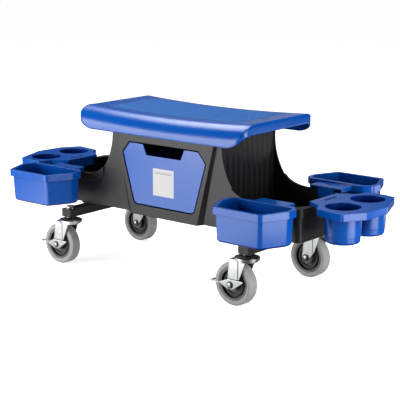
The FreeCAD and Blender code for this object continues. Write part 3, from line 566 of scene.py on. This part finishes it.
def axle_bolt(corner, axle_x, fork_front, fork_back, steel, washer_shade):
    """One axle bolt: its domed cap in front of the fork, its nut behind, and a washer painted dark as
    shade under each.
    """
    cap_back = fork_front - washer_thick
    cap_front = cap_back - cap_thick
    nut_front = fork_back + washer_thick
    nut_back = nut_front + nut_thick
    bolt = joined([disc(32, shaft_radius, fork_front, nut_back + shaft_tip, axle_x, shaft_bevel),
                   disc(6, cap_radius, cap_front, cap_back, axle_x, cap_bevel),
                   dome(dome_radius, dome_rise, (axle_x, cap_front, axle_z)),
                   disc(6, nut_radius, nut_front, nut_back, axle_x, nut_bevel)])
    finished(bolt, corner + "_domed_bolt", corner + "_swivel_body", steel)
    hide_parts(corner + "_axle_bolt")
    # Washers painted dark as the shade round the bolt heads
    washers = joined([disc(40, washer_radius, cap_back, fork_front, axle_x, washer_bevel),
                      disc(40, nut_radius, fork_back, nut_front, axle_x, washer_bevel)])
    finished(washers, corner + "_washers", corner + "_swivel_body", washer_shade)


def axle_bolts(steel, washer_shade):
    """The four casters' axle bolts. The front ones also hold a brake lever, so they reach further out."""
    for end, side_y, room in (("front", -stem_y, front_room), ("rear", stem_y, rear_room)):
        for side, side_x in (("left", -stem_x), ("right", stem_x)):
            fork_front = side_y - fork_reach - room
            axle_bolt(end + "_" + side, side_x - trail, fork_front, side_y + fork_reach, steel, washer_shade)


class Air(Finish):
    """The world round the studio."""

    def __init__(self, **sockets):
        world = bpy.data.worlds.new("studio air")
        bpy.context.scene.world = world
        world.use_nodes = True
        self.tree = world.node_tree
        self.shader = self.tree.nodes["Background"]
        self.feed(**sockets)


def card_light(x, y, glow, wide, deep, lean=0.0):
    """How brightly a card shines at a place. Its left edge moves by its lean in X for each metre of Y."""
    left, right = wide
    return (x - y * lean).above(*left) * x.below(*right) * y.between(*deep) * glow


def pale_floor():
    """The floor, white when looked at, and dark with bright cards on it in reflections."""
    bpy.ops.mesh.primitive_plane_add(size=floor_size)
    floor = bpy.context.active_object
    floor.name = "floor"
    paint = Finish("floor paint", Specular_IOR_Level=0.0, Emission_Strength=1.0)
    x, y, _ = paint.axes()
    cards = card_light(x, y, **front_card) * y.below(*front_card_far).spread(1.0, front_card_gain)
    for card in (right_card, back_card, near_card):
        cards = cards + card_light(x, y, **card)
    paint.feed(Base_Color=paint.mix(paint.ray("Is Glossy Ray"), floor_white, mirrored_floor))
    paint.feed(Roughness=paint.cloud(0.4).spread(0.85, 0.95))
    paint.feed(Emission_Color=paint.backdrop(floor_lift, cards, 0.0))
    floor.data.materials.append(paint.material)


def studio_air():
    """The world: white when looked at, and dark with one pale wall in reflections."""
    air = Air(Color=(1, 1, 1))
    east, _, height = air.axes(air.node("ShaderNodeTexCoord", out="Generated"))
    wall = height.below(*wall_top) * east.between(*wall_wide)
    air.feed(Strength=air.backdrop(1.0, wall.spread(mirrored_air, mirrored_wall), open_air))


def soft_lamp(name, place, width, height, radiance, mirrored=True):
    """A softbox that looks at the object. radiance is its brightness, where 1 is white."""
    bpy.ops.object.light_add(type="AREA", location=place)
    lamp = bpy.context.active_object
    lamp.name = name
    lamp.rotation_euler = (Vector(lit_middle) - Vector(place)).to_track_quat("-Z", "Y").to_euler()
    lamp.data.shape = "RECTANGLE"
    lamp.data.size = width
    lamp.data.size_y = height
    lamp.data.energy = radiance * math.pi * width * height
    lamp.visible_camera = False
    lamp.visible_glossy = mirrored


def lamps():
    """The softboxes round the object."""
    soft_lamp("front left box", (-0.92, -1.31, 0.5), width=1.6, height=0.85, radiance=6.2)
    soft_lamp("back left box", (-1.5, 0.97, 1.85), width=1.0, height=0.65, radiance=5.8, mirrored=False)
    soft_lamp("right box", (1.55, -0.05, 0.42), width=0.8, height=0.8, radiance=7.0)
    soft_lamp("top box", (-0.3, 0.45, 2.5), width=1.4, height=1.4, radiance=7.8)


def mirrored_card():
    """A bright card with faded edges, hung over the back left, that only shows in reflections."""
    bpy.ops.mesh.primitive_plane_add(size=1)
    bpy.ops.transform.resize(value=hung_card_size)
    bpy.ops.transform.translate(value=hung_card_place)
    card = bpy.context.active_object
    card.name = "hung_card"
    bpy.ops.object.transform_apply(location=True, scale=True)
    sheen = Finish("hung card", Base_Color=(0, 0, 0), Specular_IOR_Level=0.0, Emission_Strength=1.0)
    x, y, _ = sheen.axes()
    sheen.feed(Emission_Color=card_light(x, y, **hung_card))
    card.data.materials.append(sheen.material)
    card.visible_camera = card.visible_diffuse = card.visible_shadow = False


def photograph_camera():
    """The camera, placed and turned as the photograph's was."""
    bpy.ops.object.camera_add(location=camera_place)
    camera = bpy.context.active_object
    camera.rotation_euler = (math.radians(90 - camera_lift), 0, math.radians(camera_turn))
    camera.data.lens = focal_mm
    camera.data.sensor_width = sensor_mm
    camera.data.shift_y = camera_shift
    bpy.context.scene.camera = camera
    bpy.context.scene.view_settings.view_transform = "Standard"


steel = polished_steel()
dress(("bin", "tray", "drawer_face", "drawer_tub"), blue_moulding())
dress(("seat_top",), blue_seat())
dress(("base_shell", "drawer_runners", "tube_plugs"), black_moulding())
dress(("cross_tube",), powder_coat())
dress(("fork", "_stem", "brake_lever", "sleeve"), bright_zinc())
dress(("stem_nut", "axle_bolt", "race_balls", "seat_screws", "tube_bolts"), steel)
dress(("tyre",), grey_tyre())
dress(("hub",), wheel_core())
dress(("label",), blank_label())
seat_studs(blue_studs())
axle_bolts(steel, washer_shade_steel())
pale_floor()
studio_air()
lamps()
mirrored_card()
photograph_camera()
